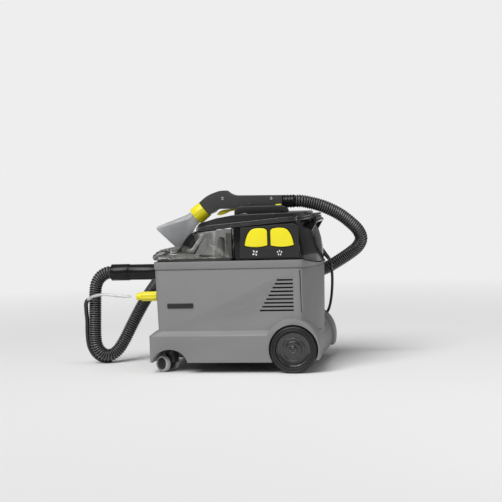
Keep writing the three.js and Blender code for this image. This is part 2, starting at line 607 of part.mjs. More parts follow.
// The spray hose: from the yellow coupling to the suction hose's outer side, ending in the clip below.
const sprayRoute = [
  [-264.6, -60, 173], [-280, -60, 173.5], [-300, -58, 175], [-325, -49, 177], [-350, -38, 176], [-374, -27, 170],
  [-392, -16, 156], [-396.5, -6, 136], [-397.5, 2, 108], [-399.5, 6, 74], [-396.5, 10, 40], [-384, 17.5, 16],
  [-366, 27, 4], [-350, 33, 4.5]];
add('spray_hose', tube(sprayRoute, hose.spray, 8, 34), clear);

// The mains cord: out of the head, down behind the machine, to a coil on the floor on the far side.
const cordRoute = [
  outletAt(25.6), outletAt(34), [205, 100.5, 228], [206, 107, 212], [205, 117, 192], [202, 130, 168], [197, 145, 142],
  [189.5, 160, 118], [179, 168, 98], [172.5, 171, 80], [167, 174, 52], [163, 179, 26], [158, 188, 8], [148, 202, 3.6],
  [141, 214, 3.6], [139.4, 226, 3.6], [139.6, 238, 3.6]];
add('mains_cord', tube(cordRoute, cord.radius, cord.sides, 28), rubber);
const coil = { x: 60, y: 262, inner: 43, outer: 78, height: 30 };
add('mains_coil', solid(new THREE.LatheGeometry([[coil.inner, 0.2], [coil.outer, 0.2], [coil.outer, coil.height],
  [coil.inner, coil.height], [coil.inner, 0.2]].map(([r, y]) => new THREE.Vector2(r, y)), 28))
  .rotate([90, 0, 0]).translate([coil.x, coil.y, 0]), rubber);
add('mains_plug', rod(15, [coil.x - 14, coil.y - 60, 49.5], [coil.x + 24, coil.y - 60, 49.5], 20, 18)
  .add(rod(2.4, [coil.x + 20, coil.y - 69.5, 49.5], [coil.x + 43, coil.y - 69.5, 49.5], 10))
  .add(rod(2.4, [coil.x + 20, coil.y - 50.5, 49.5], [coil.x + 43, coil.y - 50.5, 49.5], 10))
  .add(rod(5, [coil.x - 34, coil.y - 60, 49.5], [coil.x - 13, coil.y - 60, 49.5], 12, 8)), rubber);

object.position.x = 7.253;   // the box of the machine, without its hoses and cord, is centred
export default object;
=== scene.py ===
import json
import math

import bmesh
import bpy
from mathutils import Matrix, Quaternion, Vector


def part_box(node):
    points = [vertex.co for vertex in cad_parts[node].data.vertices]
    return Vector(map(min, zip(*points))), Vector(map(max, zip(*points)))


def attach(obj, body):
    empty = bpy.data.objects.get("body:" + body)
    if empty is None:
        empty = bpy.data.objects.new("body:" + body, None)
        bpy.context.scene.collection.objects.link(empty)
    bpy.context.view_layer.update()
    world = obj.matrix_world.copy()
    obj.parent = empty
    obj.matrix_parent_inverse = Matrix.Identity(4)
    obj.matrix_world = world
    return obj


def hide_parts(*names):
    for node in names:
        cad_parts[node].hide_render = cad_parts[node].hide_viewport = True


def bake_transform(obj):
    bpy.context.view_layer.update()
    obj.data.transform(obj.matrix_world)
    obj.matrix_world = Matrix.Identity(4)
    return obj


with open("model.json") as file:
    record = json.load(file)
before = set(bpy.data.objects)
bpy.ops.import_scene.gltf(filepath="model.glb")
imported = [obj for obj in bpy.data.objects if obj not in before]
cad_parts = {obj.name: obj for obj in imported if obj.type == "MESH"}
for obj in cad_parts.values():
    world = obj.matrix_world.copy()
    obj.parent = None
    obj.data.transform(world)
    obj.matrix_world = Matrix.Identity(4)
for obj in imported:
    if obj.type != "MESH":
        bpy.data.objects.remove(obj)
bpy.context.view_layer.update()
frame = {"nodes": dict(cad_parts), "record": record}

record = frame["record"]
bodyOf = {node: body for body, nodes in record["behaviour"]["bodies"].items() for node in nodes}
slotOf = {part["node"]: part["material_slot"] for part in record["subparts"]}
shift = 0.007253  # the frame stands on the middle of the machine, this far from the drawing's origin


def at(x, y, z):
    return Vector((x / 1000 + shift, y / 1000, z / 1000))  # a place in the drawing's millimetres


def middle(node):
    low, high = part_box(node)
    return (Vector(low) + Vector(high)) / 2


# ---- camera, light and floor ----
cameraSetup = {
    "azimuth": 11.0,
    "elevation": 3.0,
    "distance": 3.0,
    "target": (24, 0, 274),
    "roll": 1.8,
    "widthSeen": 1.21484,
    "sensor": 36,
    "clip": (0.1, 60),
}


def makeCamera(setup):
    a, e = math.radians(setup["azimuth"]), math.radians(setup["elevation"])
    back = Vector((math.sin(a) * math.cos(e), -math.cos(a) * math.cos(e), math.sin(e)))
    bpy.ops.object.camera_add()
    camera = bpy.context.object
    camera.name = "viewCamera"
    camera.location = at(*setup["target"]) + back * setup["distance"]
    camera.rotation_mode = "QUATERNION"
    facing = (-back).to_track_quat("-Z", "Y")
    camera.rotation_quaternion = facing @ Quaternion((0, 0, 1), math.radians(-setup["roll"]))
    camera.data.sensor_width = setup["sensor"]
    camera.data.lens = setup["sensor"] * setup["distance"] / setup["widthSeen"]
    camera.data.clip_start, camera.data.clip_end = setup["clip"]
    bpy.context.scene.camera = camera


def makeLight(name, size, energy, place, lookAt):
    bpy.ops.object.light_add(type="AREA", location=place)
    lamp = bpy.context.object
    lamp.name = name
    lamp.data.shape = "RECTANGLE"
    lamp.data.size, lamp.data.size_y = size
    lamp.data.energy = energy
    lamp.rotation_euler = (Vector(lookAt) - Vector(place)).to_track_quat("-Z", "Y").to_euler()


stageSetup = {
    "floorSize": 16,
    "floorPlace": (0, 2.0, -0.0005),
    "floorColour": (0.86, 0.86, 0.86, 1),
    "floorRoughness": 0.8,
    "backdrop": (0.855, 0.855, 0.855, 1),
    "fade": (1.0, 2.6),
    "skyLight": 0.27,
    "sunEnergy": 2.35,
    "sunAngle": 40,
    "sunWay": (0.30, 0.62, -0.82),
    "lights": [
        ("keyLight", (0.7, 0.5), 2.2, (-0.9, -1.4, 1.3), (0, 0, 0.25)),
        ("stripLight", (0.12, 1.3), 4, (1.45, -1.1, 0.6), (0, 0, 0.25)),
        ("topLight", (1.1, 0.25), 3, (0.1, -0.25, 1.5), (0, 0, 0.2)),
    ],
}


def makeFloor(setup):
    bpy.ops.mesh.primitive_plane_add(size=setup["floorSize"], location=setup["floorPlace"])
    floor = bpy.context.object
    floor.name = "floor"
    material = bpy.data.materials.new("paleFloor")
    material.use_nodes = True
    tree = material.node_tree
    shader = tree.nodes["Principled BSDF"]
    shader.inputs["Base Color"].default_value = setup["floorColour"]
    shader.inputs["Roughness"].default_value = setup["floorRoughness"]
    place = tree.nodes.new("ShaderNodeNewGeometry").outputs["Position"]
    away = tree.nodes.new("ShaderNodeVectorMath")  # the floor fades into the backdrop away from the machine
    away.operation = "LENGTH"
    fade = tree.nodes.new("ShaderNodeMapRange")
    fade.inputs["From Min"].default_value, fade.inputs["From Max"].default_value = setup["fade"]
    glow = tree.nodes.new("ShaderNodeEmission")
    glow.inputs["Color"].default_value = setup["backdrop"]
    blend = tree.nodes.new("ShaderNodeMixShader")
    tree.links.new(place, away.inputs[0])
    tree.links.new(away.outputs["Value"], fade.inputs["Value"])
    tree.links.new(fade.outputs[0], blend.inputs[0])
    tree.links.new(shader.outputs[0], blend.inputs[1])
    tree.links.new(glow.outputs[0], blend.inputs[2])
    tree.links.new(blend.outputs[0], tree.nodes["Material Output"].inputs["Surface"])
    floor.data.materials.append(material)


def makeSky(setup):
    scene = bpy.context.scene
    scene.view_settings.view_transform = "Standard"
    world = scene.world or bpy.data.worlds.new("softSky")
    scene.world = world
    world.use_nodes = True
    tree = world.node_tree
    sky = tree.nodes["Background"]
    sky.inputs["Color"].default_value = setup["backdrop"]
    seen = tree.nodes.new("ShaderNodeLightPath").outputs["Is Camera Ray"]
    strength = tree.nodes.new("ShaderNodeMapRange")  # the backdrop is paler than the light it gives
    strength.inputs["To Min"].default_value, strength.inputs["To Max"].default_value = setup["skyLight"], 1.0
    tree.links.new(seen, strength.inputs["Value"])
    tree.links.new(strength.outputs[0], sky.inputs["Strength"])


def makeLights(setup):
    bpy.ops.object.light_add(type="SUN", location=(-1, -2, 3))
    sun = bpy.context.object
    sun.name = "softSun"
    sun.data.energy, sun.data.angle = setup["sunEnergy"], math.radians(setup["sunAngle"])
    sun.rotation_euler = Vector(setup["sunWay"]).to_track_quat("-Z", "Y").to_euler()
    for light in setup["lights"]:
        makeLight(*light)


makeCamera(cameraSetup)
makeFloor(stageSetup)
makeSky(stageSetup)
makeLights(stageSetup)
print("camera and stage made")


# ---- materials ----
def put(tree, kind, values=None, **settings):
    node = tree.nodes.new(kind)
    for key, value in settings.items():
        setattr(node, key, value)
    for key, value in (values or {}).items():
        if isinstance(value, bpy.types.NodeSocket):
            tree.links.new(value, node.inputs[key])
        else:
            node.inputs[key].default_value = value
    return node


def makeGroup(name, inputs, outputs):
    group = bpy.data.node_groups.new(name, "ShaderNodeTree")
    for label, kind in inputs:
        group.interface.new_socket(label, in_out="INPUT", socket_type="NodeSocket" + kind)
    for label, kind in outputs:
        group.interface.new_socket(label, in_out="OUTPUT", socket_type="NodeSocket" + kind)
    return group, group.nodes.new("NodeGroupInput").outputs, group.nodes.new("NodeGroupOutput").inputs


def mix(tree, factor, a, b, kind="MIX"):
    node = put(tree, "ShaderNodeMix", data_type="RGBA", blend_type=kind)
    for key, value in (("Factor", factor), ("A", a), ("B", b)):
        socket = [s for s in node.inputs if s.name == key and (s.type == "RGBA") == (key != "Factor")][0]
        if isinstance(value, bpy.types.NodeSocket):
            tree.links.new(value, socket)
        else:
            socket.default_value = value
    return [s for s in node.outputs if s.type == "RGBA"][0]


def math2(tree, operation, a, b):
    node = put(tree, "ShaderNodeMath", operation=operation)
    for socket, value in zip(node.inputs, (a, b)):
        if isinstance(value, bpy.types.NodeSocket):
            tree.links.new(value, socket)
        else:
            socket.default_value = value
    return node.outputs[0]


def fitRange(tree, value, low, high, newLow=0.0, newHigh=1.0):
    node = put(tree, "ShaderNodeMapRange", {"Value": value, "From Min": low, "From Max": high,
                                            "To Min": newLow, "To Max": newHigh})
    return node.outputs[0]


def grainGroup():  # moulded plastic: soft mottling, a spread of gloss and a fine spark grain
    group, enter, leave = makeGroup(
        "mouldedGrain",
        [("Color", "Color"), ("Shade", "Float"), ("Roughness", "Float"), ("Spread", "Float"),
         ("Grain Scale", "Float")],
        [("Color", "Color"), ("Roughness", "Float"), ("Height", "Float")])
    place = put(group, "ShaderNodeTexCoord").outputs["Object"]
    cloud = put(group, "ShaderNodeTexNoise", {"Vector": place, "Scale": 11.0, "Detail": 4.0,
                                              "Roughness": 0.6}).outputs[0]
    fine = put(group, "ShaderNodeTexNoise", {"Vector": place, "Scale": enter["Grain Scale"],
                                             "Detail": 2.0}).outputs[0]
    darker = mix(group, enter["Shade"], enter["Color"], (0, 0, 0, 1))
    group.links.new(mix(group, fitRange(group, cloud, 0.3, 0.7), enter["Color"], darker), leave["Color"])
    wander = math2(group, "MULTIPLY", math2(group, "SUBTRACT", cloud, 0.5), enter["Spread"])
    fineWander = math2(group, "MULTIPLY", math2(group, "SUBTRACT", fine, 0.5), enter["Spread"])
    total = math2(group, "ADD", math2(group, "ADD", enter["Roughness"], wander), fineWander)
    group.links.new(total, leave["Roughness"])
    group.links.new(fine, leave["Height"])
    return group


def edgeWearAndHighlightGroup():  # rounded edges, painted paler in patches along every edge: partly wear where hands and floors rub them, partly a painted highlight on the edge
    group, enter, leave = makeGroup(
        "rubbedEdges",
        [("Color", "Color"), ("Wear And Highlight Color", "Color"), ("Amount", "Float")],
        [("Color", "Color"), ("Normal", "Vector")])
    round_ = put(group, "ShaderNodeBevel", {"Radius": 0.0011}, samples=6).outputs[0]
    flat = put(group, "ShaderNodeNewGeometry").outputs["Normal"]
    same = put(group, "ShaderNodeVectorMath", {0: round_, 1: flat},
               operation="DOT_PRODUCT").outputs["Value"]
    place = put(group, "ShaderNodeTexCoord").outputs["Object"]
    edgePatches = put(group, "ShaderNodeTexNoise", {"Vector": place, "Scale": 70.0, "Detail": 3.0}).outputs[0]
    # edge mask: where the rounded normal turns from the flat one, broken into patches; the paler colour here
    # is painted highlight as well as wear
    edge = math2(group, "MULTIPLY", fitRange(group, same, 0.985, 0.86), fitRange(group, edgePatches, 0.35, 0.7))
    amount = math2(group, "MULTIPLY", edge, enter["Amount"])
    group.links.new(mix(group, amount, enter["Color"], enter["Wear And Highlight Color"]), leave["Color"])
    group.links.new(round_, leave["Normal"])
    return group


def dustGroup():  # dust that settles on what faces up, and splashes low on the sides
    group, enter, leave = makeGroup(
        "settledDust",
        [("Color", "Color"), ("Dust Color", "Color"), ("Amount", "Float")],
        [("Color", "Color"), ("Mask", "Float")])
    place = put(group, "ShaderNodeTexCoord").outputs["Object"]
    specks = put(group, "ShaderNodeTexNoise", {"Vector": place, "Scale": 230.0, "Detail": 5.0,
                                               "Roughness": 0.7}).outputs[0]
    flat = put(group, "ShaderNodeNewGeometry").outputs["Normal"]
    up = put(group, "ShaderNodeSeparateXYZ", {0: flat}).outputs["Z"]
    height = put(group, "ShaderNodeSeparateXYZ", {0: place}).outputs["Z"]
    low = fitRange(group, height, 0.11, 0.02)
    where = math2(group, "MAXIMUM", fitRange(group, up, 0.55, 1.0), math2(group, "MULTIPLY", low, 0.6))
    mask = math2(group, "MULTIPLY", math2(group, "MULTIPLY", where, fitRange(group, specks, 0.42, 0.75)),
                 enter["Amount"])
    group.links.new(mix(group, mask, enter["Color"], enter["Dust Color"]), leave["Color"])
    group.links.new(mask, leave["Mask"])
    return group


grain, edgeWearAndHighlight, dust = grainGroup(), edgeWearAndHighlightGroup(), dustGroup()


def newMaterial(name):
    material = bpy.data.materials.new(name)
    material.use_nodes = True
    return material, material.node_tree, material.node_tree.nodes["Principled BSDF"]


def moulded(name, colour, roughness, spread=0.1, shade=0.08, grainScale=1500.0, depth=0.00006, edgeWearAndHighlightAmount=0.4,
            edgeWearAndHighlightColour=None, dusty=0.18, specular=0.5, coat=0.0, metallic=0.0):
    material, tree, shader = newMaterial(name)
    # the paler edge colour is partly wear and partly painted highlight
    pale = edgeWearAndHighlightColour or tuple(min(1, c * 1.8 + 0.03) for c in colour)
    skin = put(tree, "ShaderNodeGroup", node_tree=grain)
    for key, value in {"Color": (*colour, 1), "Shade": shade, "Roughness": roughness, "Spread": spread,
                       "Grain Scale": grainScale}.items():
        skin.inputs[key].default_value = value
    edges = put(tree, "ShaderNodeGroup", node_tree=edgeWearAndHighlight)
    tree.links.new(skin.outputs["Color"], edges.inputs["Color"])
    edges.inputs["Wear And Highlight Color"].default_value = (*pale, 1)
    edges.inputs["Amount"].default_value = edgeWearAndHighlightAmount
    film = put(tree, "ShaderNodeGroup", node_tree=dust)
    tree.links.new(edges.outputs["Color"], film.inputs["Color"])
    film.inputs["Dust Color"].default_value = (0.42, 0.41, 0.39, 1)
    film.inputs["Amount"].default_value = dusty
    tree.links.new(film.outputs["Color"], shader.inputs["Base Color"])
    rough = math2(tree, "ADD", skin.outputs["Roughness"],
                  math2(tree, "MULTIPLY", film.outputs["Mask"], 0.5))
    tree.links.new(rough, shader.inputs["Roughness"])
    bump = put(tree, "ShaderNodeBump", {"Height": skin.outputs["Height"], "Normal": edges.outputs["Normal"],
                                        "Distance": depth, "Strength": 1.0})
    tree.links.new(bump.outputs[0], shader.inputs["Normal"])
    shader.inputs["Specular IOR Level"].default_value = specular
    shader.inputs["Coat Weight"].default_value = coat
    shader.inputs["Coat Roughness"].default_value = 0.12
    shader.inputs["Metallic"].default_value = metallic
    return material


def clearPlastic(name, tint, roughness, ior=1.45, transmission=1.0, scratches=0.2, wave=0.15):
    material, tree, shader = newMaterial(name)
    place = put(tree, "ShaderNodeTexCoord").outputs["Object"]
    drawn = put(tree, "ShaderNodeMapping", {"Vector": place, "Scale": (40.0, 900.0, 220.0),
                                            "Rotation": (0.3, 0.5, 0.2)})
    hair = put(tree, "ShaderNodeTexNoise", {"Vector": drawn.outputs[0], "Scale": 1.0,
                                            "Detail": 4.0}).outputs[0]
    cloud = put(tree, "ShaderNodeTexNoise", {"Vector": place, "Scale": 38.0, "Detail": 3.0}).outputs[0]
    marks = math2(tree, "MULTIPLY", fitRange(tree, hair, 0.56, 0.74), scratches)
    rough = math2(tree, "ADD", math2(tree, "ADD", roughness, marks), math2(tree, "MULTIPLY", cloud, 0.04))
    tree.links.new(rough, shader.inputs["Roughness"])
    pale = tuple(min(1, c * 1.12 + 0.02) for c in tint)
    tree.links.new(mix(tree, fitRange(tree, cloud, 0.35, 0.7), (*tint, 1), (*pale, 1)),
                   shader.inputs["Base Color"])
    bump = put(tree, "ShaderNodeBump", {"Height": cloud, "Distance": 0.0004, "Strength": wave})
    tree.links.new(bump.outputs[0], shader.inputs["Normal"])
    shader.inputs["Transmission Weight"].default_value = transmission
    shader.inputs["IOR"].default_value = ior
    return material


def ribbedRubber(name, valley, crest):
    material = moulded(name, valley, 0.27, spread=0.12, shade=0.2, grainScale=900.0, depth=0.00004, edgeWearAndHighlightAmount=0.0,
                       dusty=0.04, specular=0.6)
    tree = material.node_tree
    # painted highlight and shade: the rib crests are painted paler and the valleys darker, as light would
    # fall on the ribs
    paintedCrestHighlight = fitRange(tree, put(tree, "ShaderNodeNewGeometry").outputs["Pointiness"], 0.49, 0.56)
    colour = mix(tree, paintedCrestHighlight, (*valley, 1), (*crest, 1))
    tree.links.new(colour, tree.nodes["Principled BSDF"].inputs["Base Color"])
    return material


looks = {
    "grey_housing": moulded("housingGrey", (0.206, 0.206, 0.208), 0.46, shade=0.06, depth=0.00005, edgeWearAndHighlightAmount=0.35,
                            dusty=0.1),
    "black_plastic": moulded("headBlack", (0.0065, 0.0065, 0.0072), 0.25, spread=0.08, shade=0.2,
                             grainScale=2200.0, depth=0.00002, edgeWearAndHighlightAmount=0.25, edgeWearAndHighlightColour=(0.06, 0.06, 0.06),
                             dusty=0.03, specular=0.28),
    "charcoal_plastic": moulded("handleCharcoal", (0.020, 0.020, 0.021), 0.42, shade=0.15,
                                grainScale=1300.0, depth=0.00009, edgeWearAndHighlightAmount=0.3, dusty=0.05, specular=0.35),
    "yellow_plastic": moulded("signalYellow", (0.86, 0.75, 0.012), 0.36, shade=0.05, grainScale=1800.0,
                              depth=0.00003, edgeWearAndHighlightAmount=0.2, edgeWearAndHighlightColour=(0.9, 0.86, 0.3), dusty=0.05),
    # the pale edge colour is partly wear and partly painted highlight
    "rubber_black": moulded("hoseBlack", (0.009, 0.009, 0.009), 0.27, spread=0.12, shade=0.2,
                            grainScale=900.0, depth=0.00004, edgeWearAndHighlightAmount=0.9, edgeWearAndHighlightColour=(0.16, 0.16, 0.16),
                            dusty=0.04, specular=0.6),
    "caster_tread": moulded("treadGrey", (0.40, 0.40, 0.39), 0.5, shade=0.2, dusty=0.2),
    "natural_plastic": moulded("naturalTank", (0.88, 0.89, 0.86), 0.42, shade=0.06, dusty=0.05,
                               specular=0.4),
    "steel": moulded("brushedSteel", (0.52, 0.53, 0.54), 0.3, spread=0.2, grainScale=3000.0, depth=0.00002,
                     edgeWearAndHighlightAmount=0.1, dusty=0.05, metallic=1.0),
    "clear_plastic": clearPlastic("coverClear", (0.88, 0.88, 0.86), 0.01, ior=1.35, scratches=0.08,
                                  wave=0.04),
    "clear_hose": clearPlastic("sprayHoseClear", (0.86, 0.87, 0.86), 0.14, ior=1.3, transmission=0.55),
    "smoke_plastic": clearPlastic("tankSmoke", (0.42, 0.41, 0.39), 0.22, transmission=0.5),
}
nozzleClear = clearPlastic("nozzleClear", (0.80, 0.81, 0.82), 0.12, ior=1.4, transmission=0.65,
                           scratches=0.08)
toolGrey = moulded("toolGrey", (0.048, 0.048, 0.049), 0.38, shade=0.15, grainScale=1300.0, depth=0.00009,
                   edgeWearAndHighlightAmount=0.4, dusty=0.04, specular=0.45)
# painted highlight: the pale edge colour lights up the edges of the rim rings
rimBlack = moulded("rimBlack", (0.008, 0.008, 0.008), 0.24, shade=0.2, grainScale=1800.0, depth=0.00002,
                   edgeWearAndHighlightAmount=1.0, edgeWearAndHighlightColour=(0.62, 0.62, 0.61), dusty=0.05, specular=0.6, coat=0.7)
headSatin = moulded("headSatin", (0.005, 0.005, 0.0055), 0.18, spread=0.05, shade=0.2, grainScale=2600.0,
                    depth=0.00001, edgeWearAndHighlightAmount=0.3, edgeWearAndHighlightColour=(0.08, 0.08, 0.08), dusty=0.02, specular=0.3)
# the pale edge colour on the tyre rings is partly wear and partly painted highlight
tyreBlack = moulded("tyreBlack", (0.009, 0.009, 0.009), 0.42, spread=0.14, shade=0.3, grainScale=700.0,
                    depth=0.0001, edgeWearAndHighlightAmount=0.8, edgeWearAndHighlightColour=(0.24, 0.24, 0.235), dusty=0.12, specular=0.4)
# the crest colour is a painted highlight and the valley colour a painted shade
hoseRibs = ribbedRubber("hoseRibs", (0.004, 0.004, 0.004), (0.075, 0.075, 0.075))
# painted highlight: the pale edge colour draws bright lines along the lid lips
lidSatin = moulded("lidSatin", (0.006, 0.006, 0.0065), 0.2, spread=0.06, shade=0.2, grainScale=2200.0,
                   depth=0.00002, edgeWearAndHighlightAmount=0.6, edgeWearAndHighlightColour=(0.2, 0.2, 0.2), dusty=0.03, specular=0.5, coat=0.6)
markWhite = moulded("markWhite", (0.72, 0.72, 0.70), 0.5, edgeWearAndHighlightAmount=0.0, dusty=0.05)

for part in record["subparts"]:
    node = frame["nodes"][part["node"]]
    node.data.materials.clear()
    node.data.materials.append(looks[part["material_slot"]])
print("materials made:", len(bpy.data.materials))


# ---- how pieces are handled ----
def pickOnly(piece):
    bpy.ops.object.select_all(action="DESELECT")
    piece.select_set(True)
    bpy.context.view_layer.objects.active = piece


def startEditing(piece):
    pickOnly(piece)
    bpy.ops.object.mode_set(mode="EDIT")


def stopEditing():
    bpy.ops.object.mode_set(mode="OBJECT")


def selectFaces(test):
    bpy.ops.mesh.select_mode(type="FACE")
    bpy.ops.mesh.select_all(action="DESELECT")
    data = bpy.context.edit_object.data
    mesh = bmesh.from_edit_mesh(data)
    for face in mesh.faces:
        face.select_set(bool(test(face)))
    bmesh.update_edit_mesh(data)


def placeInMesh(piece):
    pickOnly(piece)
    bpy.ops.object.transform_apply(location=True, rotation=True, scale=True)


def applyModifiers(piece):
    pickOnly(piece)
    for modifier in list(piece.modifiers):
        bpy.ops.object.modifier_apply(modifier=modifier.name)


def softEdges(piece, width, segments=2, angle=32):
    bevel = piece.modifiers.new("softEdges", "BEVEL")
    bevel.width, bevel.segments = width, segments
    bevel.limit_method, bevel.angle_limit = "ANGLE", math.radians(angle)
    applyModifiers(piece)
    pickOnly(piece)
    bpy.ops.object.shade_smooth_by_angle(angle=math.radians(angle))


def finishPiece(piece, body, material=None, slot=None, instead=()):
    if material is None:
        material = looks[slot]
    piece.data.materials.clear()
    piece.data.materials.append(material)
    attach(piece, body)
    if instead:
        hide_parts(*instead)
    return piece


def softened(node, name, width, segments=2, angle=32, material=None):
    piece = bpy.data.objects.new(name, frame["nodes"][node].data.copy())
    bpy.context.collection.objects.link(piece)
    startEditing(piece)
    bpy.ops.mesh.select_all(action="SELECT")
    bpy.ops.mesh.remove_doubles(threshold=0.00003)
    bpy.ops.mesh.dissolve_limited(angle_limit=math.radians(1.2))
    stopEditing()
    softEdges(piece, width, segments, angle)
    return finishPiece(piece, bodyOf[node], material, slotOf[node], (node,))


def turned(name, centre, along, radius, depth, out=(), back=(), sides=64, through=False):
    # a round bar whose two ends are inset and pushed, step by step, along the axis
    along = Vector(along).normalized()
    bpy.ops.object.select_all(action="DESELECT")
    bpy.ops.mesh.primitive_cylinder_add(vertices=sides, radius=radius, depth=depth, location=centre)
    piece = bpy.context.object
    piece.name = name
    piece.rotation_mode = "QUATERNION"
    piece.rotation_quaternion = Vector((0, 0, 1)).rotation_difference(along)
    placeInMesh(piece)
    startEditing(piece)
    for way, steps in ((along, out), (-along, back)):
        selectFaces(lambda face: len(face.verts) == sides and face.normal.dot(way) > 0.9)
        for thickness, push in steps:
            bpy.ops.mesh.inset(thickness=max(thickness, 0.00002), depth=push)
        if through:
            bpy.ops.mesh.delete(type="FACE")
    if through:
        bpy.ops.mesh.select_mode(type="EDGE")
        bpy.ops.mesh.select_all(action="DESELECT")
        bpy.ops.mesh.select_non_manifold()
        bpy.ops.mesh.bridge_edge_loops()
    stopEditing()
    return piece


def turnedCopy(piece, name, turn, centre):
    copy = bpy.data.objects.new(name, piece.data.copy())
    bpy.context.collection.objects.link(copy)
    centre = Vector(centre)
    copy.data.transform(Matrix.Translation(centre) @ turn.to_4x4() @ Matrix.Translation(-centre))
    return copy


# ---- hoses and cord ----
def smoothLine(points, spacing):
    ends = [points[0] * 2 - points[1]] + list(points) + [points[-1] * 2 - points[-2]]
    fine = []
    for i in range(len(points) - 1):
        p0, p1, p2, p3 = ends[i:i + 4]
        d0, d1, d2 = (max((b - a).length, 1e-6) ** 0.5 for a, b in ((p0, p1), (p1, p2), (p2, p3)))
        m1 = ((p1 - p0) / d0 - (p2 - p0) / (d0 + d1) + (p2 - p1) / d1) * d1
        m2 = ((p2 - p1) / d1 - (p3 - p1) / (d1 + d2) + (p3 - p2) / d2) * d1
        for k in range(24):
            t = k / 24
            fine.append(p1 * (2 * t**3 - 3 * t**2 + 1) + m1 * (t**3 - 2 * t**2 + t)
                        + p2 * (3 * t**2 - 2 * t**3) + m2 * (t**3 - t**2))
    fine.append(points[-1].copy())
    total = sum((b - a).length for a, b in zip(fine, fine[1:]))
    count = max(2, round(total / spacing))
    line, walked, want = [fine[0]], 0.0, total / count
    for a, b in zip(fine, fine[1:]):
        step = (b - a).length
        while step > 0 and walked + step >= want - 1e-9 and len(line) < count:
            line.append(a.lerp(b, (want - walked) / step))
            want += total / count
        walked += step
    line.append(fine[-1])
    return line, total


def tubeAlong(name, line, radiusAt, sides):
    mesh = bpy.data.meshes.new(name)
    rings, tangents = [], []
    for i in range(len(line)):
        tangents.append((line[min(i + 1, len(line) - 1)] - line[max(i - 1, 0)]).normalized())
    across = tangents[0].orthogonal().normalized()
    walked = 0.0
    vertices, faces, along = [], [], []
    for i, (place, tangent) in enumerate(zip(line, tangents)):
        if i:
            walked += (place - line[i - 1]).length
            across = (across - tangent * across.dot(tangent)).normalized()
        up = tangent.cross(across)
        radius = radiusAt(walked)
        along.append(walked)
        for k in range(sides):
            a = 2 * math.pi * k / sides
            vertices.append(place + (across * math.cos(a) + up * math.sin(a)) * radius)
    for i in range(len(line) - 1):
        for k in range(sides):
            k2 = (k + 1) % sides
            faces.append((i * sides + k, i * sides + k2, (i + 1) * sides + k2, (i + 1) * sides + k))
    last = (len(line) - 1) * sides
    faces.append(tuple(range(sides))[::-1])
    faces.append(tuple(last + k for k in range(sides)))
    mesh.from_pydata(vertices, [], faces)
    uv = mesh.uv_layers.new(name="alongTube")
    for face in mesh.polygons[:-2]:
        i, k = divmod(face.index, sides)
        for loop, (u, v) in zip(face.loop_indices, ((k, i), (k + 1, i), (k + 1, i + 1), (k, i + 1))):
            uv.data[loop].uv = (u / sides, along[v])
    piece = bpy.data.objects.new(name, mesh)
    bpy.context.collection.objects.link(piece)
    pickOnly(piece)
    bpy.ops.object.shade_smooth_by_angle(angle=math.radians(60))
    return piece


hoseSetup = {"crest": 0.0160, "root": 0.0130, "pitch": 0.0056, "stepsPerRib": 6, "sides": 24,
             "spray": 0.0035}
frontRoute = [
    (-328, 0, 228), (-338, 0, 228), (-356, 0, 219), (-368, 0, 203), (-373, 1, 182), (-375, 2, 150),
    (-377, 3, 110), (-379, 5, 72), (-377, 8, 45), (-366, 14, 26), (-348, 22, 19.5), (-331, 32, 30),
    (-317, 44, 52), (-300, 62, 90), (-280, 86, 134), (-258, 115, 176), (-232, 146, 214), (-200, 166, 244),
    (-160, 174, 263), (-110, 174, 271), (-50, 174, 270), (10, 174, 261), (70, 175, 239), (110, 175.5, 222),
    (134, 175.5, 215.4), (150, 175.5, 213.5), (160, 175.5, 213.3)]
rearRoute = [
    (161.2, 175.5, 213.3), (171, 175.4, 213.8), (184, 173.5, 218.5), (200, 170, 227), (222, 165, 240),
    (247, 157, 256), (268, 146, 273), (278, 133, 293), (272, 120, 314), (254, 107, 335), (232, 95, 354),
    (209, 84, 368), (185, 74, 379), (158, 66, 387), (142, 62.3, 390.4), (128.8, 62, 391)]
sprayRoute = [
    (-264.6, -60, 173), (-280, -60, 173.5), (-300, -58, 175), (-325, -49, 177), (-350, -38, 176),
    (-374, -27, 170), (-392, -16, 156), (-396.5, -6, 136), (-397.5, 2, 108), (-399.5, 6, 74),
    (-396.5, 10, 40), (-384, 17.5, 16), (-366, 27, 4), (-350, 33, 4.5)]


def ribbed(setup, total):
    crest, root = setup["crest"], setup["root"]
    ribs = max(1, round(total / setup["pitch"]))

    def radiusAt(walked):
        wave = 0.5 - 0.5 * math.cos(2 * math.pi * ribs * walked / total)
        return root + (crest - root) * wave ** 0.6
    return radiusAt


def suctionHose(name, route):
    points = [at(*p) for p in route]
    spacing = hoseSetup["pitch"] / hoseSetup["stepsPerRib"]
    line, total = smoothLine(points, spacing)
    piece = tubeAlong(name, line, ribbed(hoseSetup, total), hoseSetup["sides"])
    return piece, line, total


frontHose, frontLine, frontLength = suctionHose("suctionHoseFront", frontRoute)
finishPiece(frontHose, "machine", hoseRibs, "rubber_black", ("suction_hose_front",))
rearHose, rearLine, rearLength = suctionHose("suctionHoseRear", rearRoute)
rearHose.data.materials.append(hoseRibs)
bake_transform(rearHose)
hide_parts("suction_hose_rear")
sprayLine, sprayLength = smoothLine([at(*p) for p in sprayRoute], 0.004)
sprayHose = tubeAlong("sprayHose", sprayLine, lambda walked: hoseSetup["spray"], 16)
finishPiece(sprayHose, "machine", slot="clear_hose", instead=("spray_hose",))
sheathStart = next(i for i, place in enumerate(sprayLine) if place.z < 0.163)
sheathLine = sprayLine[sheathStart:]


def sheathRadius(walked):
    place = sheathLine[min(len(sheathLine) - 1, round(walked / (sprayLength / (len(sprayLine) - 1))))]
    return max(0.0038, min(0.0052, place.z - 0.0004))


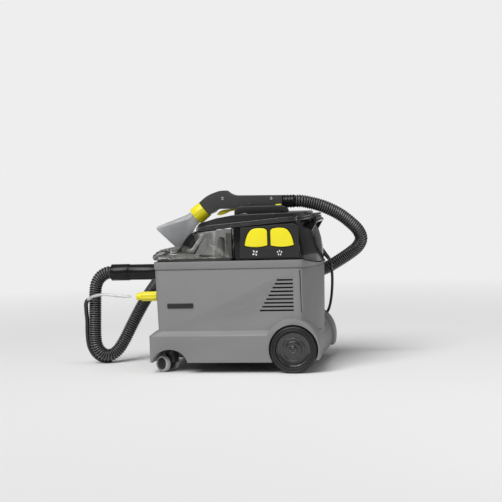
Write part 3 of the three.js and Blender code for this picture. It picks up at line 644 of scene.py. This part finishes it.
spraySheath = tubeAlong("spraySheath", sheathLine, sheathRadius, 16)
finishPiece(spraySheath, "machine", slot="rubber_black")
print("hoses made:", round(frontLength, 3), round(rearLength, 3), round(sprayLength, 3))

cordSetup = {
    "radius": 0.0035,
    "length": 7.5,
    "coilMiddle": (60, 262),
    "rings": [44.5, 51.5, 58.5, 65.5, 72.5],
    "layers": [3.8, 10.9, 18.0, 25.1],
    "topTurns": 5,
    "pointsPerTurn": 28,
    "shiftSector": 40,
    "lastAngle": 145,
}
outlet = Vector((186.5, 90, 266))
outletWay = Vector((0.58, 0.2, -0.79)).normalized()
cordRoute = [
    tuple(outlet + outletWay * 25.6), tuple(outlet + outletWay * 34), (205, 100.5, 228), (206, 107, 212),
    (205, 117, 192), (202, 130, 168), (197, 145, 142), (189.5, 160, 118), (179, 168, 98), (172.5, 171, 80),
    (167, 174, 52), (163, 179, 26), (158, 188, 8.5), (148, 202, 3.8), (141, 214, 3.8), (136, 232, 3.8)]


def eased(t):
    return t * t * (3 - 2 * t)


def coilPoints(setup):
    cx, cy = setup["coilMiddle"]
    turns = []
    for layer, z in enumerate(setup["layers"]):
        rings = setup["rings"][::-1] if layer % 2 == 0 else setup["rings"]
        if layer == len(setup["layers"]) - 1:
            rings = rings[:setup["topTurns"]]
        turns += [(ring, z) for ring in rings]
    points = []
    per, sector = setup["pointsPerTurn"], setup["shiftSector"]
    for number, (ring, z) in enumerate(turns):
        nextZ = turns[number + 1][1] if number + 1 < len(turns) else z
        before = turns[number - 1][0] if number else ring
        last = number == len(turns) - 1
        for k in range(per):
            angle = 360 * k / per
            if last and angle > setup["lastAngle"]:
                break
            r = before + (ring - before) * eased(min(1, angle / sector))
            up = eased(max(0, (angle - 360 + sector) / sector))
            a = math.radians(angle)
            points.append((cx + r * math.cos(a), cy + r * math.sin(a), z + (nextZ - z) * up))
    return points


def plugEnd(setup):
    cx, cy = setup["coilMiddle"]
    return [(cx - 68, cy + 20, 28), (cx - 70, cy - 4, 34), (cx - 66, cy - 27, 41), (cx - 57, cy - 46, 46.5),
            (cx - 46, cy - 57.5, 49.2), (cx - 38, cy - 60, 49.5), (cx - 34.6, cy - 60, 49.5)]


cordPoints = [at(*p) for p in cordRoute + coilPoints(cordSetup) + plugEnd(cordSetup)]
cordLine, cordLength = smoothLine(cordPoints, 0.0065)
mainsCord = tubeAlong("mainsCord", cordLine, lambda walked: cordSetup["radius"], 10)
finishPiece(mainsCord, "machine", slot="rubber_black", instead=("mains_cord", "mains_coil"))
print("mains cord made:", round(cordLength, 2))

# ---- shells: the moulded parts with soft edges ----
shellEdges = {  # node: (name, edge width, segments)
    "main_housing": ("housingShell", 0.0014, 2),
    "fresh_water_tank": ("freshTank", 0.001, 2),
    "dirty_water_tank": ("dirtyTank", 0.001, 2),
    "switch_panel": ("switchPanel", 0.0005, 2),
    "lid_frame": ("lidFrame", 0.0008, 2),
    "clear_cover": ("clearCover", 0.0007, 2),
    "tool_rest_front": ("toolRestFront", 0.0014, 3),
    "tool_rest_rear": ("toolRestRear", 0.0045, 4),
    "carry_handle": ("carryHandle", 0.0042, 4),
    "name_badge": ("nameBadge", 0.0005, 2),
    "nozzle_neck": ("nozzleNeck", 0.0008, 2),
    "float_cage": ("floatCage", 0.0005, 2),
    "float": ("floatBall", 0.003, 4),
    "inlet_elbow": ("inletElbow", 0.003, 3),
    "splash_tray": ("splashTray", 0.0008, 2),
    "container_seal": ("containerSeal", 0.0006, 2),
    "suction_turbine": ("suctionTurbine", 0.0025, 3),
    "motor_deck": ("motorDeck", 0.0012, 2),
    "spray_pump": ("sprayPump", 0.0015, 2),
    "base_plate": ("basePlate", 0.0012, 2),
    "hose_socket": ("hoseSocket", 0.0012, 2),
    "hose_cuff": ("hoseCuff", 0.0012, 2),
    "spray_socket": ("spraySocket", 0.001, 2),
    "hose_strap": ("hoseStrap", 0.0008, 2),
    "union_nut": ("unionNut", 0.0009, 2),
    "tool_shell_near": ("toolShellNear", 0.0042, 4),
    "tool_shell_far": ("toolShellFar", 0.0042, 4),
    "spray_trigger": ("sprayTrigger", 0.0012, 3),
    "tool_hose_connector": ("toolHoseConnector", 0.0008, 2),
    "caster_yoke_near": ("casterYokeNear", 0.0012, 2),
    "caster_yoke_far": ("casterYokeFar", 0.0012, 2),
    "rocker_vacuum": ("rockerVacuum", 0.0022, 4),
    "rocker_spray": ("rockerSpray", 0.0022, 4),
    "mains_plug": ("mainsPlug", 0.0012, 2),
}
shells = {}
for node, (name, width, segments) in shellEdges.items():
    shells[node] = softened(node, name, width, segments)
for node in ("tool_shell_near", "tool_shell_far"):
    shells[node].data.materials[0] = toolGrey
shells["lid_frame"].data.materials[0] = lidSatin
shells["head_housing"] = softened("head_housing", "headShell", 0.0012, 2, material=headSatin)
shells["nozzle_shell"] = softened("nozzle_shell", "nozzleShell", 0.0006, 2, material=nozzleClear)
print("shells made:", len(shells))


# ---- rear wheels ----
wheelSetup = {
    "tyreY": -0.147,
    "capY": -0.1565,
    "tyreRadius": 0.0532,
    "tyreDepth": 0.024,
    "tyreOut": [(0.0006, 0.0010), (0.0012, 0.0010), (0.0020, 0.0006), (0.0010, -0.0014), (0.0014, 0),
                (0.0009, 0.0014), (0.0044, 0.0002), (0.0006, -0.003)],
    "tyreBack": [(0.0008, 0.001), (0.0034, 0.0006), (0.0079, -0.0006)],
    "treadFrom": 0.052,
    "rimRadius": 0.0408,
    "rimDepth": 0.020,
    "rimOut": [(0.0009, 0.0009), (0.0014, 0.0001), (0.0007, -0.0034), (0.0062, -0.0012), (0.0042, -0.0004),
               (0.0006, 0.0014), (0.0014, 0), (0.0006, -0.0014), (0.0052, 0.0003), (0.0008, 0.0046),
               (0.0014, 0.0004), (0.0030, 0)],
    "rimBack": [(0.006, -0.004), (0.02, 0.0), (0.002, 0.006)],
    "capRadius": 0.0098,
    "capDepth": 0.008,
    "capOut": [(0.0008, 0.0012), (0.0024, 0.0008), (0.0006, -0.0008), (0.0012, 0), (0.0005, 0.0009),
               (0.0016, 0.0004)],
}


def rearWheel(setup):
    axle = middle("rear_axle")
    side = Vector((0, -1, 0))
    spot = Vector((axle.x, setup["tyreY"], axle.z))
    tyre = turned("tyreNear", spot, side, setup["tyreRadius"], setup["tyreDepth"], setup["tyreOut"],
                  setup["tyreBack"], sides=96, through=True)
    startEditing(tyre)
    selectFaces(lambda face: abs(face.normal.y) < 0.1
                and (face.calc_center_median() - spot).xz.length > setup["treadFrom"])
    bpy.ops.mesh.inset(thickness=0.0005, depth=0.0008, use_individual=True)
    stopEditing()
    softEdges(tyre, 0.00035, 2, 38)
    rim = turned("rimNear", spot, side, setup["rimRadius"], setup["rimDepth"], setup["rimOut"],
                 setup["rimBack"], sides=96)
    softEdges(rim, 0.0004, 2, 30)
    cap = turned("hubCapNear", Vector((axle.x, setup["capY"], axle.z)), side, setup["capRadius"],
                 setup["capDepth"], setup["capOut"], sides=48)
    softEdges(cap, 0.0003, 2, 30)
    turn = Matrix.Rotation(math.pi, 3, "Z")
    for piece, node, material in ((tyre, "tyre_near", tyreBlack), (rim, "wheel_rim_near", rimBlack),
                                 (cap, "hub_cap_near", rimBlack)):
        far = node.replace("near", "far")
        copy = turnedCopy(piece, piece.name.replace("Near", "Far"), turn, (axle.x, 0, axle.z))
        finishPiece(piece, "wheel_near", material, slotOf[node], (node,))
        finishPiece(copy, "wheel_far", material, slotOf[far], (far,))
        pickOnly(copy)
        bpy.ops.object.shade_smooth_by_angle(angle=math.radians(35))


rearWheel(wheelSetup)


# ---- caster wheels ----
casterSetup = {
    "axleTurn": 30,
    "radius": 0.0194,
    "depth": 0.0082,
    "tyreOut": [(0.0005, 0.0010), (0.0011, 0.0009), (0.0018, 0.0004), (0.0018, -0.0002), (0.0004, -0.0016),
                (0.0100, 0)],
    "tyreBack": [(0.0006, 0.0008), (0.0040, 0.0004), (0.0006, -0.0010), (0.0100, 0)],
    "discRadius": 0.0134,
    "discDepth": 0.003,
    "discPush": 0.0036,
    "discOut": [(0.0007, 0.0007), (0.0030, 0.0008), (0.0035, 0.0004), (0.0007, -0.0008), (0.0016, 0),
                (0.0006, 0.0012), (0.0016, 0.0004)],
}


def casterWheels(setup):
    turn = math.radians(setup["axleTurn"])
    axis = Vector((math.sin(turn), math.cos(turn), 0))
    for side in ("near", "far"):
        for which, way in (("a", -axis), ("b", axis)):
            node = f"caster_wheel_{side}_{which}"
            label = side.capitalize() + which.upper()
            spot = middle(node)
            tyre = turned("casterTyre" + label, spot, way, setup["radius"], setup["depth"],
                          setup["tyreOut"], setup["tyreBack"], sides=64)
            softEdges(tyre, 0.0003, 2, 30)
            finishPiece(tyre, bodyOf[node], looks["caster_tread"], slotOf[node], (node,))
            disc = turned("casterDisc" + label, spot + way * setup["discPush"], way, setup["discRadius"],
                          setup["discDepth"], setup["discOut"], sides=48)
            softEdges(disc, 0.0003, 2, 30)
            finishPiece(disc, bodyOf[node], looks["charcoal_plastic"], "charcoal_plastic")


casterWheels(casterSetup)
print("wheels made")


# ---- small turned parts ----
screwSetup = {
    "radius": 0.0036,
    "depth": 0.0016,
    "out": [(0.0005, 0.0004), (0.0012, 0.0001), (0.0004, -0.0007), (0.0004, 0)],
}


def screw(name, place, way, body, setup):
    head = turned(name, place, way, setup["radius"], setup["depth"], setup["out"], sides=24)
    return finishPiece(head, body, slot="steel")


def sleeve(name, place, way, radius, depth, body, slot, out=((0.0008, 0.0006), (0.0012, 0)), **settings):
    piece = turned(name, place, way, radius, depth, out, out, sides=48, **settings)
    softEdges(piece, 0.0003, 2, 30)
    return finishPiece(piece, body, slot=slot)


couplingSetup = {
    "fromHousing": 0.0305,
    "radius": 0.0117,
    "depth": 0.037,
    "out": [(0.0006, 0.0006), (0.0022, 0.0006), (0.0001, 0.0110), (0.0006, 0.0004), (0.0012, 0.0001),
            (0.0001, 0.0012)],
    "back": [(0.0006, 0.0006), (0.0018, 0.0004), (0.0001, 0.0108)],
    "gripFrom": 0.0114,
    "gripArea": 0.00003,
    "gripInset": 0.0007,
    "gripDepth": 0.0009,
}


def sprayCoupling(setup):
    low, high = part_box("spray_coupling")
    spot = Vector((high[0] - setup["fromHousing"], (low[1] + high[1]) / 2, (low[2] + high[2]) / 2))
    sides = 48
    piece = turned("sprayCoupling", spot, Vector((-1, 0, 0)), setup["radius"], setup["depth"], setup["out"],
                   setup["back"], sides=sides)

    def gripFace(face):  # two faces out of three round the barrel
        outward = (face.calc_center_median() - spot).yz.length
        if face.normal.x ** 2 > 0.01 or outward < setup["gripFrom"] or face.calc_area() < setup["gripArea"]:
            return False
        angle = math.atan2(face.normal.z, face.normal.y)
        return round(angle / (2 * math.pi) * sides) % 3 != 0

    startEditing(piece)
    selectFaces(gripFace)
    bpy.ops.mesh.inset(thickness=setup["gripInset"], depth=-setup["gripDepth"])
    stopEditing()
    softEdges(piece, 0.0003, 2, 30)
    return finishPiece(piece, "machine", slot="yellow_plastic", instead=("spray_coupling",))


reliefSetup = {
    "base": (-0.004, 0.0060, 0.010),
    "core": (0.0115, 0.0044, 0.026),
    "rings": 6,
    "firstRing": 0.0035,
    "spacing": 0.0036,
    "ringRadius": 0.0057,
    "taper": 0.0002,
    "ringDepth": 0.0022,
}


def strainRelief(setup):
    def bar(name, along, radius, depth, out, back=()):
        return turned(name, at(*outlet) + outletWay * along, outletWay, radius, depth, out, back, sides=32)

    piece = bar("strainRelief", *setup["base"], [(0.0004, 0.0004)])
    edge = [(0.0003, 0.0002)]
    others = []
    for k in range(setup["rings"]):
        others.append(bar("strainRing%d" % k, setup["firstRing"] + setup["spacing"] * k,
                          setup["ringRadius"] - setup["taper"] * k, setup["ringDepth"], edge, edge))
    others.append(bar("strainCore", *setup["core"], [(0.0003, 0.0003)]))
    bpy.ops.object.select_all(action="DESELECT")
    for part in others + [piece]:
        part.select_set(True)
    bpy.context.view_layer.objects.active = piece
    bpy.ops.object.join()
    softEdges(piece, 0.0002, 2, 30)
    return finishPiece(piece, "machine", slot="rubber_black", instead=("cord_outlet",))


sprayCoupling(couplingSetup)
relief = strainRelief(reliefSetup)
sleeve("hoseJoiner", at(160.6, 175.5, 213.4), (1, 0, 0.03), 0.0180, 0.030, "machine",
                "rubber_black")
hoseClip = sleeve("sprayHoseClip", at(-351.5, 32.6, 4.6), (-0.94, -0.33, 0.0), 0.0044, 0.010, "machine",
                  "rubber_black", out=((0.0004, 0.0004),))
hinge = middle("hinge_pin")
for name, y in (("hingeCapNear", -0.0615), ("hingeCapFar", 0.0615)):
    sleeve(name, Vector((hinge.x, y, hinge.z)), (0, math.copysign(1, y), 0), 0.0046, 0.003, "machine",
           "black_plastic", out=((0.0008, 0.0006), (0.0012, 0.0003)))
for name, place, way, body in (
        ("screwToolFront", at(-52, 45.2, 402), (0, -1, 0), "lid"),
        ("screwToolBack", at(70, 44.3, 399), (0, -1, 0), "lid"),
        ("screwBaseFrontNear", at(-90, -135, 26.6), (0, 0, -1), "machine"),
        ("screwBaseFrontFar", at(-90, 135, 26.6), (0, 0, -1), "machine"),
        ("screwBaseRearNear", at(70, -135, 26.6), (0, 0, -1), "machine"),
        ("screwBaseRearFar", at(70, 135, 26.6), (0, 0, -1), "machine")):
    screw(name, place, way, body, screwSetup)


def block(name, low, high, width, segments, body, material=None, slot=None, instead=()):
    bpy.ops.object.select_all(action="DESELECT")
    size = Vector(high) - Vector(low)
    bpy.ops.mesh.primitive_cube_add(size=1, location=(Vector(high) + Vector(low)) / 2, scale=size)
    piece = bpy.context.object
    piece.name = name
    placeInMesh(piece)
    softEdges(piece, width, segments, 30)
    return finishPiece(piece, body, material, slot, instead)


tieSetup = {"low": (0.0405, -0.008, 0.0004), "high": (0.0785, 0.008, 0.0305), "edge": 0.0035,
            "angles": (35, 215)}
coilPlace = Matrix.Translation(at(*cordSetup["coilMiddle"], 0))
for angle in tieSetup["angles"]:
    tie = block("coilTie%d" % angle, tieSetup["low"], tieSetup["high"], tieSetup["edge"], 4, "machine",
                slot="rubber_black")
    tie.data.transform(coilPlace @ Matrix.Rotation(math.radians(angle), 4, "Z"))

cornerSetup = {
    "foot": 139,
    "top": 236,
    "upright": 0.19,  # the height at which the strips stand where they are drawn
    "lean": 0.031,  # the wall leans outward as it rises
    "strips": [
        ("cornerRib", 166.0, 169.0, 143.9, 1.6, looks["grey_housing"], "grey_housing"),
        # painted shade: a thin black strip put beside the rib to stand for the shadow in the groove
        ("grooveShadeStrip", 163.4, 165.6, 145.6, 0.9, headSatin, "black_plastic"),
    ],
}


def cornerStrips(setup, side, name):
    lean = Matrix.Identity(4)
    lean[1][2] = side * setup["lean"]
    up = Matrix.Translation((0, 0, setup["upright"]))
    for label, x0, x1, y, half, material, slot in setup["strips"]:
        strip = block(label + name, at(x0, side * y - half, setup["foot"]),
                      at(x1, side * y + half, setup["top"]), 0.0005, 2, "machine", material, slot)
        strip.data.transform(up @ lean @ up.inverted())


cornerStrips(cornerSetup, -1, "Near")
cornerStrips(cornerSetup, 1, "Far")

gripSetup = {
    "half": 2.2,
    "near": -126,
    "far": 2,
    "below": 3,
    "above": 3.2,
    "bars": [(-178, 280.2), (-169, 284.6), (-160, 286.6), (-151, 287.3), (-142, 285.0)],
}


def coverGrips(setup):
    for x, top in setup["bars"]:
        low = at(x - setup["half"], setup["near"], top - setup["below"])
        high = at(x + setup["half"], setup["far"], top + setup["above"])
        block("coverGrip%d" % -x, low, high, 0.0018, 3, "lid", material=nozzleClear, slot="clear_plastic")


coverGrips(gripSetup)
print("small parts made")


# ---- switch marks: a fan wheel and a spray of drops ----
markSetup = {"panel": -150.1, "thickness": 0.6, "fan": (62.5, 277.2, 7.5), "drops": (119.5, 276.2, 6.0)}


def flatMark(name, outline, setup):
    mesh = bpy.data.meshes.new(name)
    mesh.from_pydata([at(x, setup["panel"], z) for x, z in outline], [], [tuple(range(len(outline)))])
    piece = bpy.data.objects.new(name, mesh)
    bpy.context.collection.objects.link(piece)
    solidify = piece.modifiers.new("raise", "SOLIDIFY")
    solidify.thickness, solidify.offset = setup["thickness"] / 1000, 0
    applyModifiers(piece)
    return piece


def joinAs(name, pieces):
    bpy.ops.object.select_all(action="DESELECT")
    for piece in pieces:
        piece.select_set(True)
    bpy.context.view_layer.objects.active = pieces[0]
    bpy.ops.object.join()
    pieces[0].name = name
    return pieces[0]


def fanMark(setup):
    x, z, radius = setup["fan"]
    blades = []
    for k in range(4):
        outline = []
        for j in range(9):
            t = j / 8
            a = math.radians(90 * k + 62 * t)
            r = radius * (0.25 + 0.75 * math.sin(math.pi * t * 0.9))
            outline.append((x + r * math.cos(a), z + r * math.sin(a)))
        blades.append(flatMark("blade%d" % k, outline, setup))
    return joinAs("markFan", blades)


def dropMark(setup):
    x, z, size = setup["drops"]
    drops = []
    for dx, dz in ((-0.75, 0.35), (0.0, 0.75), (0.75, 0.35), (-0.4, -0.6), (0.4, -0.6)):
        outline = []
        for j in range(12):
            a = 2 * math.pi * j / 12
            r = size * 0.34 * (1 + (0.55 if j == 3 else 0))
            outline.append((x + dx * size + r * math.cos(a) * 0.8, z + dz * size + r * math.sin(a)))
        drops.append(flatMark("drop", outline, setup))
    return joinAs("markDrops", drops)


finishPiece(fanMark(markSetup), "machine", markWhite, "natural_plastic")
finishPiece(dropMark(markSetup), "machine", markWhite, "natural_plastic")
print("switch marks made")
